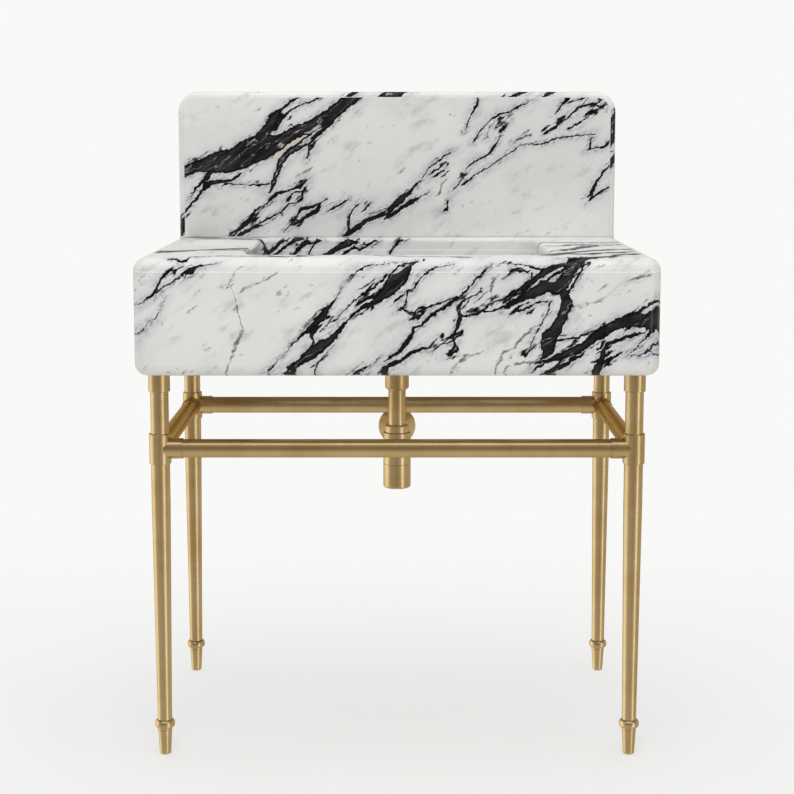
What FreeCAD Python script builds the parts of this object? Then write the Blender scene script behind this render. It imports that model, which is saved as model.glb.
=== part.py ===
import FreeCAD, Part
import os
import re

import Sketcher

# Vanity sink: a carved marble basin block with a backsplash, on a brass console of four legs
# joined by four rails, with a bottle trap to the wall. Millimetres, +Z up, the front faces -Y.
# The origin is on the floor, under the middle of the whole part.

SIZES = {
    # Basin block, carved from one piece of marble
    "block_width": 864,
    "block_depth": 559,
    "block_height": 195,
    "deck_height": 856,
    "block_corner_radius": 25,
    "deck_edge_radius": 23,
    "apron_edge_radius": 20,
    # Basin sunk into the deck, its floor falling to the drain
    "basin_width": 520,
    "basin_length": 425,
    "basin_depth": 125,
    "front_ledge_share": 0.597,
    "basin_corner_radius": 45,
    "basin_floor_radius": 25,
    "basin_rim_radius": 8,
    "floor_thickness": 25,
    "floor_fall": 4,
    "dish_margin": 12,
    # Hollow under the basin floor, which gives room to tighten the waste
    "recess_width": 600,
    "recess_length": 340,
    "recess_corner_radius": 20,
    # Backsplash slab on its sealant bed
    "splash_height": 278,
    "splash_thickness": 22,
    "splash_inset": 10,
    "splash_corner_radius": 40,
    "splash_edge_radius": 10,
    "splash_panel_rise": 1.5,
    "splash_panel_margin": 0.6,
    "splash_panel_edge": 0.8,
    "sealant_thickness": 1.5,
    "sealant_setback": 1,
    # Legs: their places under the block, ferrules and tubes
    "leg_inset_side": 34.4,
    "leg_inset_front": 56.5,
    "leg_inset_rear": 56.5,
    "ferrule_radius": 18,
    "ferrule_height": 32,
    "ferrule_plate": 8,
    "upper_leg_radius": 15.2,
    "tube_wall": 2,
    "insert_radius": 9,
    "insert_length": 35,
    "stud_radius": 5,
    "stud_length": 50,
    "nut_radius": 9.8,
    "nut_height": 8,
    # Tees and rails
    "rail_drop": 129,
    "tee_radius": 18.3,
    "tee_height": 51,
    "tee_socket_radius": 17.2,
    "tee_socket_reach": 38.4,
    "leg_socket_depth": 18,
    "rail_socket_depth": 19,
    "rail_radius": 15.5,
    "grub_radius": 2.5,
    "grub_length": 1.6,
    # Lower legs, ring beads and levelling feet
    "lower_leg_radius": 15.8,
    "lower_leg_end_radius": 12.2,
    "lower_leg_straight": 72,
    "lower_leg_end_straight": 20,
    "lower_leg_tenon_radius": 12.8,
    "lower_leg_wall": 2.5,
    "lower_leg_plug": 60,
    "ring_radius": 16.8,
    "ring_height": 14.4,
    "ring_round_share": 0.97,
    "ring_collar_radius": 12.2,
    "ring_collar_height": 3.6,
    "ring_spigot_radius": 9.4,
    "foot_height": 43.4,
    "foot_radius": 11.8,
    "foot_end_radius": 9.4,
    "foot_edge_radius": 3.5,
    "foot_gap": 0.3,
    "foot_stud_radius": 6,
    "foot_stud_hold": 25,
    "foot_stud_reach": 45,
    # Basin waste
    "drain_hole_radius": 23,
    "waste_flange_radius": 32,
    "waste_flange_height": 2.5,
    "waste_shank_radius": 20.5,
    "waste_wall": 2.5,
    "waste_shank_length": 64,
    "waste_seal_height": 1.5,
    "waste_lower_seal_height": 4,
    "waste_washer_height": 2,
    "waste_washer_radius": 31,
    "waste_nut_radius": 30,
    "waste_nut_height": 9,
    "waste_bridge_height": 5,
    "waste_bridge_drop": 22,
    "waste_bridge_width": 9,
    # Pop-up plug
    "plug_radius": 27,
    "plug_height": 6,
    "plug_edge_radius": 2.5,
    "plug_seal_radius": 21,
    "plug_seal_height": 2.5,
    "plug_stem_radius": 4,
    "plug_stem_length": 52,
    "plug_neck_radius": 7,
    "plug_lift": 9.2,
    "plug_clip_radius": 7.5,
    "plug_clip_height": 1.5,
    # Drain sleeve, tailpiece and bottle trap
    "sleeve_radius": 21.5,
    "sleeve_drop": 65.5,
    "sleeve_overlap": 12,
    "sleeve_collar": 14,
    "sleeve_taper": 4,
    "tailpiece_radius": 15.6,
    "tailpiece_wall": 1.5,
    "tailpiece_hold": 12,
    "trap_drop": 144,
    "trap_radius": 24.8,
    "trap_wall": 2.5,
    "trap_height": 102,
    "trap_neck_radius": 19.5,
    "trap_neck_height": 7,
    "trap_cup_height": 44,
    "trap_cup_edge_radius": 4,
    "trap_cup_thread": 10,
    "trap_cup_seal_height": 0.5,
    "trap_cup_seal_setback": 1,
    "tailpiece_floor_gap": 22,
    "inlet_nut_radius": 21.9,
    "inlet_nut_height": 13.5,
    "inlet_nut_shoulder": 1.8,
    "inlet_seal_height": 2.5,
    "outlet_rise": 66,
    "outlet_radius": 16,
    "outlet_arm_radius": 20,
    "outlet_arm_reach": 46,
    "outlet_arm_hold": 15,
    "outlet_nut_radius": 24,
    "outlet_nut_height": 20,
    "outlet_nut_thread": 13,
    "outlet_seal_height": 3,
    "outlet_stub": 32,
    "outlet_spigot_radius": 15.5,
    "rosette_radius": 36.5,
    "rosette_height": 15,
    "rosette_rim": 4,
    "rosette_neck_radius": 20,
    "rosette_edge_radius": 3,
    # Shared by all pieces
    "edge_break": 0.8,
    "fit_clearance": 0.1,
    "thread_clearance": 0.3,
    "overrun": 1,
}

# Places and sizes that follow from the sheet, as expressions in its words
FOLLOWS = {
    "front_y": "(-(block_depth + outlet_stub) / 2)",
    "wall_y": "((block_depth - outlet_stub) / 2)",
    "underside_z": "(deck_height - block_height)",
    "front_ledge": "((block_depth - basin_length) * front_ledge_share)",
    "deck_round": "min(deck_edge_radius; front_ledge - basin_rim_radius - overrun)",
    "basin_y": "(front_y + front_ledge + basin_length / 2)",
    "floor_level": "(block_height - basin_depth)",
    "recess_depth": "(floor_level - floor_thickness)",
    "seat_level": "(floor_level - floor_fall)",
    "dish_radius": "(min(basin_width; basin_length) / 2 - basin_floor_radius - dish_margin)",
    "seat_radius": "(waste_flange_radius + edge_break)",
    "splash_half": "(block_width / 2 - splash_inset)",
    "splash_slab": "(splash_thickness - splash_panel_rise)",
    "splash_band": "(splash_edge_radius + splash_panel_margin)",
    "leg_x": "(block_width / 2 - leg_inset_side)",
    "front_leg_y": "(front_y + leg_inset_front)",
    "rear_leg_y": "(wall_y - leg_inset_rear)",
    "rail_z": "(underside_z - rail_drop)",
    "ring_z": "(foot_height + foot_gap)",
    "ring_bore": "(ring_spigot_radius + fit_clearance)",
    "ring_upper_round": "(min(ring_height / 2; ring_radius - ring_bore) * ring_round_share)",
    "ring_lower_round": "(min(ring_height / 2; ring_radius - ring_collar_radius) * ring_round_share)",
    "ring_length": "(ring_collar_height + ring_height)",
    "leg_foot_z": "(ring_z + ring_length)",
    "tee_low_z": "(rail_z - tee_height / 2)",
    "tee_high_z": "(rail_z + tee_height / 2)",
    "lower_leg_length": "(tee_low_z - leg_foot_z)",
    "rail_end": "(tee_socket_reach - rail_socket_depth)",
    "ceiling_z": "(underside_z + recess_depth)",
    "seat_z": "(underside_z + seat_level)",
    "flange_z": "(seat_z + waste_seal_height)",
    "flange_top_z": "(flange_z + waste_flange_height)",
    "waste_bore": "(waste_shank_radius - waste_wall)",
    "shank_low_z": "(flange_z - waste_shank_length)",
    "sleeve_top_z": "(shank_low_z + sleeve_overlap)",
    "sleeve_low_z": "(underside_z - sleeve_drop)",
    "trap_top_z": "(underside_z - trap_drop)",
    "trap_low_z": "(trap_top_z - trap_height)",
    "cup_top_z": "(trap_low_z + trap_cup_height)",
    "body_low_z": "(cup_top_z + trap_cup_seal_height)",
    "outlet_z": "(trap_low_z + outlet_rise)",
    "tailpiece_low_z": "(trap_low_z + trap_wall + tailpiece_floor_gap)",
    "arm_end_y": "(basin_y + outlet_arm_reach)",
    "tube_start_y": "(arm_end_y - outlet_arm_hold)",
}


doc = FreeCAD.newDocument("vanity_sink")
sheet = doc.addObject("Spreadsheet::Sheet", "sizes")
for row, (alias, value) in enumerate(SIZES.items(), start=1):
    sheet.set(f"A{row}", alias)
    sheet.set(f"B{row}", str(value))
    sheet.setAlias(f"B{row}", alias)
doc.recompute()

nodes = []


def expand(text):
    """Writes an expression in the sheet's words out in full, as FreeCAD reads it."""
    def swap(found):
        word = found.group()
        if word in FOLLOWS:
            return expand(FOLLOWS[word])
        return f"sizes.{word}" if word in SIZES else word
    return re.sub(r"[a-z_]+", swap, text)


def measure(text):
    """The present value of an expression, in millimetres."""
    return float(sheet.evalExpression(expand(text)))


def place(piece, x="0", y="0", z="0", axis=None, angle=0):
    """Puts a piece in the part's frame, bound to the sheet, and counts it as a node."""
    if axis:
        piece.Placement.Rotation = FreeCAD.Rotation(axis, angle)
    for name, text in (("x", x), ("y", y), ("z", z)):
        piece.setExpression(f"Placement.Base.{name}", expand(text))
    nodes.append(piece)
    return piece


ALONG_X = (FreeCAD.Vector(0, 1, 0), 90)
ALONG_Y = (FreeCAD.Vector(1, 0, 0), -90)
UPRIGHT = FreeCAD.Vector(0, 0, 1)


def new_body(label):
    return doc.addObject("PartDesign::Body", label)


def new_sketch(body, plane, lift):
    """An empty sketch on one of the body's own planes, lifted along that plane's normal."""
    sketch = body.newObject("Sketcher::SketchObject", f"{body.Name}_sketch")
    support = next(item for item in body.Origin.OriginFeatures if item.Role == plane)
    sketch.AttachmentSupport = (support, [""])
    sketch.MapMode = "FlatFace"
    sketch.setExpression("AttachmentOffset.Base.z", expand(lift))
    return sketch


def hold(sketch, shape, point, x, y):
    """Ties one point of a sketched shape to the sketch's origin."""
    for direction, axis, text in (("DistanceX", -2, x), ("DistanceY", -1, y)):
        if text == "0":
            sketch.addConstraint(Sketcher.Constraint("PointOnObject", shape, point, axis))
            continue
        tie = Sketcher.Constraint(direction, -1, 1, shape, point, measure(text))
        number = sketch.addConstraint(tie)
        sketch.setExpression(f"Constraints[{number}]", expand(text))


def outline(body, plane, points, lift="0"):
    """A closed outline of straight lines through points written as expressions."""
    sketch = new_sketch(body, plane, lift)
    spots = [FreeCAD.Vector(measure(x), measure(y), 0) for x, y in points]
    for start, end in zip(spots, spots[1:] + spots[:1]):
        sketch.addGeometry(Part.LineSegment(start, end), False)
    for line, (x, y) in enumerate(points):
        following = (line + 1) % len(points)
        sketch.addConstraint(Sketcher.Constraint("Coincident", line, 2, following, 1))
    for line, (x, y) in enumerate(points):
        hold(sketch, line, 1, x, y)
    return sketch


def circles(body, plane, centres, radius, lift="0"):
    """Circles of one radius about centres written as expressions."""
    sketch = new_sketch(body, plane, lift)
    for number, (x, y) in enumerate(centres):
        centre = FreeCAD.Vector(measure(x), measure(y), 0)
        sketch.addGeometry(Part.Circle(centre, FreeCAD.Vector(0, 0, 1), measure(radius)), False)
        hold(sketch, number, 3, x, y)
        size = sketch.addConstraint(Sketcher.Constraint("Radius", number, measure(radius)))
        sketch.setExpression(f"Constraints[{size}]", expand(radius))
    return sketch


def pad(body, sketch, length, reverse=False):
    feature = body.newObject("PartDesign::Pad", f"{body.Name}_pad")
    feature.Profile = sketch
    feature.setExpression("Length", expand(length))
    feature.Reversed = reverse
    doc.recompute()
    return feature


def pocket(body, sketch, depth, reverse=False):
    """Cuts a sketch into the body and makes sure that it took something away."""
    before = body.Tip.Shape.Volume
    feature = body.newObject("PartDesign::Pocket", f"{body.Name}_pocket")
    feature.Profile = sketch
    feature.setExpression("Length", expand(depth))
    feature.Reversed = reverse
    doc.recompute()
    if not feature.Shape.Volume < before:
        raise RuntimeError(f"a pocket of {body.Label} cuts nothing")
    return feature


def spin(body, points, kind="PartDesign::Revolution"):
    """Turns an outline of (radius, height) points about the body's upright axis."""
    sketch = outline(body, "XZ_Plane", points)
    feature = body.newObject(kind, f"{body.Name}_turning")
    feature.Profile = sketch
    feature.ReferenceAxis = (sketch, ["V_Axis"])
    feature.Angle = 360
    doc.recompute()
    return feature


def soften(body, radius, chosen):
    """Rounds the edges of the body that the test picks out."""
    base = body.Tip
    names = [f"Edge{number}" for number, edge in enumerate(base.Shape.Edges, start=1) if chosen(edge)]
    if not names:
        raise RuntimeError(f"{body.Label} has no such edge to round")
    feature = body.newObject("PartDesign::Fillet", f"{body.Name}_edges")
    feature.Base = (base, names)
    feature.setExpression("Radius", expand(radius))
    doc.recompute()
    return feature


def near(value, text):
    return abs(value - measure(text)) < measure("fit_clearance") / 2


def rim_at(radius, height):
    """A test for the round edge of a turned piece at this radius and height."""
    def test(edge):
        round_edge = isinstance(edge.Curve, Part.Circle)
        return round_edge and near(edge.Curve.Radius, radius) and near(edge.Curve.Center.z, height)
    return test


def middle(edge):
    return edge.valueAt((edge.FirstParameter + edge.LastParameter) / 2)


def upright(edge):
    slope = edge.tangentAt(edge.FirstParameter)
    return abs(slope.z) > max(abs(slope.x), abs(slope.y))


def level_at(edge, height):
    return near(edge.BoundBox.ZLength, "0") and near(middle(edge).z, height)


def turned(label, points):
    """A turned piece, still upright at the origin."""
    body = new_body(label)
    spin(body, points)
    return body


def tube(label, radius, wall, length):
    """A plain tube that stands on the origin."""
    inner = f"({radius} - {wall})"
    return turned(label, [(inner, "0"), (radius, "0"), (radius, length), (inner, length)])


def group(label, pieces):
    """Like pieces that share one node as separate solids."""
    compound = doc.addObject("Part::Compound", label)
    compound.Links = pieces
    nodes.append(compound)
    return compound


# Basin block: the padded outside, the basin, the hollow below it and the drain, then its edges
def make_block():
    body = new_body("sink_block")
    half = "block_width / 2"
    back = "front_y + block_depth"
    pad(body, outline(body, "XY_Plane", [
        (f"-{half}", "front_y"), (half, "front_y"), (half, back), (f"-{half}", back)]), "block_height")
    soften(body, "block_corner_radius", lambda edge: upright(edge) and near(middle(edge).y, "front_y"))

    basin_half = "basin_width / 2"
    basin_front = "front_y + front_ledge"
    basin_back = "front_y + front_ledge + basin_length"
    pocket(body, outline(body, "XY_Plane", [
        (f"-{basin_half}", basin_front), (basin_half, basin_front),
        (basin_half, basin_back), (f"-{basin_half}", basin_back)], lift="block_height"), "basin_depth")
    soften(body, "basin_corner_radius", lambda edge: upright(edge)
           and near(abs(middle(edge).x), basin_half) and middle(edge).z > measure("floor_level"))
    soften(body, "basin_floor_radius", lambda edge: level_at(edge, "floor_level"))

    recess_half = "recess_width / 2"
    recess_front = "basin_y - recess_length / 2"
    recess_back = "basin_y + recess_length / 2"
    pocket(body, outline(body, "XY_Plane", [
        (f"-{recess_half}", recess_front), (recess_half, recess_front),
        (recess_half, recess_back), (f"-{recess_half}", recess_back)]), "recess_depth", reverse=True)
    soften(body, "recess_corner_radius", lambda edge: upright(edge)
           and near(abs(middle(edge).x), recess_half) and middle(edge).z < measure("recess_depth"))

    drain = outline(body, "YZ_Plane", [
        ("basin_y", "recess_depth - overrun"),
        ("basin_y + drain_hole_radius", "recess_depth - overrun"),
        ("basin_y + drain_hole_radius", "seat_level"),
        ("basin_y + seat_radius", "seat_level"),
        ("basin_y + dish_radius", "floor_level"),
        ("basin_y + dish_radius", "floor_level + overrun"),
        ("basin_y", "floor_level + overrun")])
    before = body.Tip.Shape.Volume
    dish = body.newObject("PartDesign::Groove", "sink_block_dish")
    dish.Profile = drain
    dish.ReferenceAxis = (drain, ["Edge7"])
    dish.Angle = 360
    doc.recompute()
    if not dish.Shape.Volume < before:
        raise RuntimeError("the drain cuts nothing")

    def round_basin(edge):
        spot = middle(edge)
        in_length = measure(f"{basin_front} - overrun") < spot.y < measure(f"{basin_back} + overrun")
        return in_length and abs(spot.x) < measure(f"{basin_half} + overrun")

    def outside(edge):
        """An edge round the front and the sides of the block, not the one against the wall."""
        at_side = abs(middle(edge).x) > measure(f"{half} - block_corner_radius - overrun")
        at_front = middle(edge).y < measure("front_y + block_corner_radius + overrun")
        return (at_side or at_front) and not round_basin(edge)

    soften(body, "deck_round", lambda edge: level_at(edge, "block_height") and outside(edge))
    soften(body, "apron_edge_radius", lambda edge: level_at(edge, "0") and outside(edge))
    soften(body, "basin_rim_radius", lambda edge: level_at(edge, "block_height") and round_basin(edge))

    sockets = [(x, y) for x in ("-leg_x", "leg_x") for y in ("front_leg_y", "rear_leg_y")]
    holes = circles(body, "XY_Plane", sockets, "insert_radius + fit_clearance")
    pocket(body, holes, "insert_length", reverse=True)
    return place(body, z="underside_z")


# Backsplash: a slab with rounded top corners and a rounded front edge, whose face stands a little proud
# of that edge, on its sealant bed
def make_splash(block):
    body = new_body("backsplash")

    def slab(half, top, thickness, corner):
        pad(body, outline(body, "XZ_Plane", [
            (f"-{half}", "0"), (half, "0"), (half, top), (f"-{half}", top)]), thickness)
        soften(body, corner, lambda edge: near(abs(middle(edge).x), half)
               and near(middle(edge).z, top) and near(edge.BoundBox.XLength, "0"))

    def on_front(edge, thickness):
        level = near(edge.BoundBox.YLength, "0") and near(middle(edge).y, f"-{thickness}")
        return level and middle(edge).z > measure("overrun")

    def at_rim(edge):
        straight = near(abs(middle(edge).x), "splash_half") or near(middle(edge).z, "splash_height")
        return straight or (isinstance(edge.Curve, Part.Circle)
                            and near(edge.Curve.Radius, "splash_corner_radius"))

    slab("(splash_half - splash_band)", "(splash_height - splash_band)", "splash_thickness",
         "splash_corner_radius - splash_band")
    soften(body, "splash_panel_edge", lambda edge: on_front(edge, "splash_thickness"))
    slab("splash_half", "splash_height", "splash_slab", "splash_corner_radius")
    soften(body, "splash_edge_radius", lambda edge: on_front(edge, "splash_slab") and at_rim(edge))
    place(body, y="wall_y", z="deck_height + sealant_thickness")

    strip = doc.addObject("Part::Box", "sealant_strip")
    strip.setExpression("Length", expand("2 * splash_half"))
    strip.setExpression("Width", expand("splash_thickness - sealant_setback"))
    strip.setExpression("Height", expand("sealant_thickness + deck_edge_radius"))
    strip.setExpression("Placement.Base.x", expand("-splash_half"))
    strip.setExpression("Placement.Base.y", expand("wall_y - splash_thickness + sealant_setback"))
    strip.setExpression("Placement.Base.z", expand("deck_height - deck_edge_radius"))
    bed = doc.addObject("Part::Cut", "backsplash_sealant")
    bed.Base = strip
    bed.Tool = block
    doc.recompute()
    nodes.append(bed)


# Fixings that hold the ferrules to the stone: bonded inserts, studs and nuts
CORNERS = {
    "front_left": ("-leg_x", "front_leg_y", 0),
    "front_right": ("leg_x", "front_leg_y", 90),
    "rear_right": ("leg_x", "rear_leg_y", 180),
    "rear_left": ("-leg_x", "rear_leg_y", 270),
}


def rod(name, radius, length, x, y, z):
    """A plain round bar on an upright axis."""
    bar = doc.addObject("Part::Cylinder", name)
    bar.setExpression("Radius", expand(radius))
    bar.setExpression("Height", expand(length))
    for side, text in (("x", x), ("y", y), ("z", z)):
        bar.setExpression(f"Placement.Base.{side}", expand(text))
    return bar


def without(name, base, tool):
    rest = doc.addObject("Part::Cut", name)
    rest.Base = base
    rest.Tool = tool
    return rest


def make_fixings():
    inserts, studs, nuts = [], [], []
    stud_z = "underside_z - ferrule_plate - nut_height - overrun"
    bore = "stud_radius + fit_clearance"
    for corner, (x, y, turn) in CORNERS.items():
        sleeve = rod(f"insert_bar_{corner}", "insert_radius", "insert_length", x, y, "underside_z")
        thread = rod(f"insert_bore_{corner}", bore, "insert_length + overrun", x, y,
                     "underside_z - overrun")
        inserts.append(without(f"insert_{corner}", sleeve, thread))
        studs.append(rod(f"stud_{corner}", "stud_radius", "stud_length", x, y, stud_z))
        hexagon = doc.addObject("Part::Prism", f"nut_bar_{corner}")
        hexagon.Polygon = 6
        hexagon.setExpression("Circumradius", expand("nut_radius"))
        hexagon.setExpression("Height", expand("nut_height"))
        for side, text in (("x", x), ("y", y), ("z", "underside_z - ferrule_plate - nut_height")):
            hexagon.setExpression(f"Placement.Base.{side}", expand(text))
        hole = rod(f"nut_bore_{corner}", bore, "nut_height + 2 * overrun", x, y, stud_z)
        nuts.append(without(f"nut_{corner}", hexagon, hole))
    group("leg_inserts", inserts)
    group("leg_studs", studs)
    group("leg_nuts", nuts)


# One leg, from the ferrule under the stone down to its levelling foot
def make_leg(corner, x, y, turn):
    tube_bore = "(upper_leg_radius + fit_clearance)"
    ferrule = turned(f"leg_ferrule_{corner}", [
        (f"{tube_bore} + edge_break", "0"), ("ferrule_radius - edge_break", "0"),
        ("ferrule_radius", "edge_break"),
        ("ferrule_radius", "ferrule_height"), ("stud_radius + fit_clearance", "ferrule_height"),
        ("stud_radius + fit_clearance", "ferrule_height - ferrule_plate"),
        (tube_bore, "ferrule_height - ferrule_plate"), (tube_bore, "edge_break")])
    place(ferrule, x, y, "underside_z - ferrule_height")

    upper_low = "(tee_high_z - leg_socket_depth)"
    upper = tube(f"upper_leg_{corner}", "upper_leg_radius", "tube_wall",
                 f"(underside_z - ferrule_plate - {upper_low})")
    place(upper, x, y, upper_low)

    make_tee(corner, x, y, turn)

    full = "lower_leg_length"
    tenon_top = f"{full} + leg_socket_depth"
    tenon_bore = "lower_leg_tenon_radius - lower_leg_wall"
    stud_bore = "foot_stud_radius + thread_clearance"
    lower = turned(f"lower_leg_{corner}", [
        (stud_bore, "-ring_length"), ("ring_spigot_radius", "-ring_length"), ("ring_spigot_radius", "0"),
        ("lower_leg_end_radius", "0"), ("lower_leg_end_radius", "lower_leg_end_straight"),
        ("lower_leg_radius", f"{full} - lower_leg_straight"), ("lower_leg_radius", full),
        ("lower_leg_tenon_radius", full), ("lower_leg_tenon_radius", tenon_top),
        (tenon_bore, tenon_top), (tenon_bore, f"{full} - lower_leg_straight"),
        ("lower_leg_end_radius - lower_leg_wall", "lower_leg_plug"), (stud_bore, "lower_leg_plug")])
    place(lower, x, y, "leg_foot_z")

    ring = turned(f"leg_ring_{corner}", [
        ("ring_bore", "0"), ("ring_collar_radius", "0"), ("ring_collar_radius", "ring_collar_height"),
        ("ring_radius", "ring_collar_height"), ("ring_radius", "ring_length"), ("ring_bore", "ring_length")])
    soften(ring, "ring_upper_round", rim_at("ring_radius", "ring_length"))
    soften(ring, "ring_lower_round", rim_at("ring_radius", "ring_collar_height"))
    place(ring, x, y, "ring_z")

    foot_bore = "foot_stud_radius + fit_clearance"
    foot = turned(f"levelling_foot_{corner}", [
        ("0", "0"), ("foot_end_radius", "0"), ("foot_radius", "foot_height - edge_break"),
        ("foot_radius - edge_break", "foot_height"), (foot_bore, "foot_height"),
        (foot_bore, "foot_height - foot_stud_hold"), ("0", "foot_height - foot_stud_hold")])
    soften(foot, "foot_edge_radius", rim_at("foot_end_radius", "0"))
    place(foot, x, y)

    stud = turned(f"foot_stud_{corner}", [
        ("0", "0"), ("foot_stud_radius", "0"),
        ("foot_stud_radius", "foot_stud_hold + foot_stud_reach - edge_break"),
        ("foot_stud_radius - edge_break", "foot_stud_hold + foot_stud_reach"),
        ("0", "foot_stud_hold + foot_stud_reach")])
    place(stud, x, y, "foot_height - foot_stud_hold")


def make_tee(corner, x, y, turn):
    """A collar with an arm along +X and an arm along +Y, turned to suit its corner."""
    body = new_body(f"leg_tee_{corner}")
    low = "(-tee_height / 2)"
    high = "(tee_height / 2)"
    spin(body, [
        ("0", low), ("tee_radius - edge_break", low), ("tee_radius", f"{low} + edge_break"),
        ("tee_radius", f"{high} - edge_break"), ("tee_radius - edge_break", high), ("0", high)])
    middle_spot = [("0", "0")]
    pad(body, circles(body, "YZ_Plane", middle_spot, "tee_socket_radius"), "tee_socket_reach")
    pad(body, circles(body, "XZ_Plane", middle_spot, "tee_socket_radius"), "tee_socket_reach", reverse=True)
    for plane, radius, mouth, depth, reverse in (
            ("YZ_Plane", "rail_radius", "tee_socket_reach", "rail_socket_depth", False),
            ("XZ_Plane", "rail_radius", "-tee_socket_reach", "rail_socket_depth", True),
            ("XY_Plane", "upper_leg_radius", high, "leg_socket_depth", False),
            ("XY_Plane", "lower_leg_tenon_radius", low, "leg_socket_depth", True)):
        bore = circles(body, plane, middle_spot, f"{radius} + fit_clearance", lift=mouth)
        pocket(body, bore, depth, reverse)
        counterbore = circles(body, plane, middle_spot, f"{radius} + edge_break", lift=mouth)
        pocket(body, counterbore, "edge_break", reverse)
    grub_spot = "tee_socket_reach - rail_socket_depth / 2"
    grub_holes = circles(body, "XY_Plane", [(grub_spot, "0"), ("0", grub_spot)],
                         "grub_radius + fit_clearance")
    pocket(body, grub_holes, "tee_socket_radius + overrun")
    place(body, x, y, "rail_z", UPRIGHT, turn)


# Rails between the tees, and the grub screws that lock them
def make_rails():
    cross_length = "(2 * leg_x - 2 * rail_end)"
    side_length = "(rear_leg_y - front_leg_y - 2 * rail_end)"
    for label, y in (("front_rail", "front_leg_y"), ("rear_rail", "rear_leg_y")):
        rail = tube(label, "rail_radius", "tube_wall", cross_length)
        place(rail, "rail_end - leg_x", y, "rail_z", *ALONG_X)
    for label, x in (("side_rail_left", "-leg_x"), ("side_rail_right", "leg_x")):
        rail = tube(label, "rail_radius", "tube_wall", side_length)
        place(rail, x, "front_leg_y + rail_end", "rail_z", *ALONG_Y)

    grubs = []
    spot = "(tee_socket_reach - rail_socket_depth / 2)"
    z = "rail_z - rail_radius - grub_length"
    for corner, (x, y, turn) in CORNERS.items():
        inward_x = f"{x} + {spot}" if "left" in corner else f"{x} - {spot}"
        inward_y = f"{y} + {spot}" if "front" in corner else f"{y} - {spot}"
        grubs.append(rod(f"grub_cross_{corner}", "grub_radius", "grub_length", inward_x, y, z))
        grubs.append(rod(f"grub_side_{corner}", "grub_radius", "grub_length", x, inward_y, z))
    group("rail_grub_screws", grubs)


# Basin waste: flange and shank with a bridge that guides the plug, its seals, washer and lock nut
def make_waste():
    drop = "-waste_shank_length"
    body = new_body("waste_flange")
    spin(body, [
        ("waste_bore", drop), ("waste_shank_radius", drop), ("waste_shank_radius", "0"),
        ("waste_flange_radius", "0"), ("waste_flange_radius - edge_break", "waste_flange_height"),
        ("waste_bore", "waste_flange_height")])
    bridge_low = "(-waste_bridge_drop - waste_bridge_height)"
    reach = "(waste_bore + waste_wall / 2)"
    side = "(waste_bridge_width / 2)"
    pad(body, outline(body, "XY_Plane", [
        (f"-{reach}", f"-{side}"), (reach, f"-{side}"), (reach, side), (f"-{reach}", side)],
        lift=bridge_low), "waste_bridge_height")
    pocket(body, circles(body, "XY_Plane", [("0", "0")], "plug_stem_radius + thread_clearance",
                         lift="-waste_bridge_drop"), "waste_bridge_height")
    place(body, y="basin_y", z="flange_z")

    def ring(label, inner, outer, height, z):
        place(turned(label, [(inner, "0"), (outer, "0"), (outer, height), (inner, height)]),
              y="basin_y", z=z)

    shank_bore = "(waste_shank_radius + fit_clearance)"
    ring("waste_upper_seal", shank_bore, "(waste_flange_radius - edge_break)", "waste_seal_height", "seat_z")
    seal_z = "(ceiling_z - waste_lower_seal_height)"
    ring("waste_lower_seal", shank_bore, "waste_washer_radius", "waste_lower_seal_height", seal_z)
    washer_z = f"({seal_z} - waste_washer_height)"
    ring("waste_washer", shank_bore, "waste_washer_radius", "waste_washer_height", washer_z)

    nut = doc.addObject("Part::Prism", "waste_nut_bar")
    nut.Polygon = 6
    nut.setExpression("Circumradius", expand("waste_nut_radius"))
    nut.setExpression("Height", expand("waste_nut_height"))
    nut_z = f"{washer_z} - waste_nut_height"
    nut.setExpression("Placement.Base.y", expand("basin_y"))
    nut.setExpression("Placement.Base.z", expand(nut_z))
    bore = rod("waste_nut_bore", shank_bore, "waste_nut_height + 2 * overrun", "0", "basin_y",
               f"{nut_z} - overrun")
    nodes.append(without("waste_lock_nut", nut, bore))


# Pop-up plug: a cap with its seal on a stem that slides in the bridge of the waste, held by a clip
def make_plug():
    rest_z = "(flange_top_z + plug_seal_height)"
    cap = turned("plug_cap", [
        ("0", "0"), ("plug_radius", "0"), ("plug_radius", "plug_height"), ("0", "plug_height")])
    soften(cap, "plug_edge_radius", rim_at("plug_radius", "plug_height"))
    place(cap, y="basin_y", z=rest_z)
    seal = turned("plug_seal", [
        ("plug_neck_radius + fit_clearance", "0"), ("plug_seal_radius", "0"),
        ("plug_seal_radius", "plug_seal_height"), ("plug_neck_radius + fit_clearance", "plug_seal_height")])
    place(seal, y="basin_y", z="flange_top_z")
    neck_low = "(plug_stem_length - waste_bridge_drop / 2)"
    stem = turned("plug_stem", [
        ("0", "0"), ("plug_stem_radius - edge_break", "0"), ("plug_stem_radius", "edge_break"),
        ("plug_stem_radius", neck_low), ("plug_neck_radius", neck_low),
        ("plug_neck_radius", "plug_stem_length"), ("0", "plug_stem_length")])
    place(stem, y="basin_y", z=f"{rest_z} - plug_stem_length")
    clip = turned("plug_clip", [
        ("plug_stem_radius + fit_clearance", "0"), ("plug_clip_radius", "0"),
        ("plug_clip_radius", "plug_clip_height"), ("plug_stem_radius + fit_clearance", "plug_clip_height")])
    bridge_low = "flange_z - waste_bridge_drop - waste_bridge_height"
    place(clip, y="basin_y", z=f"{bridge_low} - plug_lift - plug_clip_height")


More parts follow.
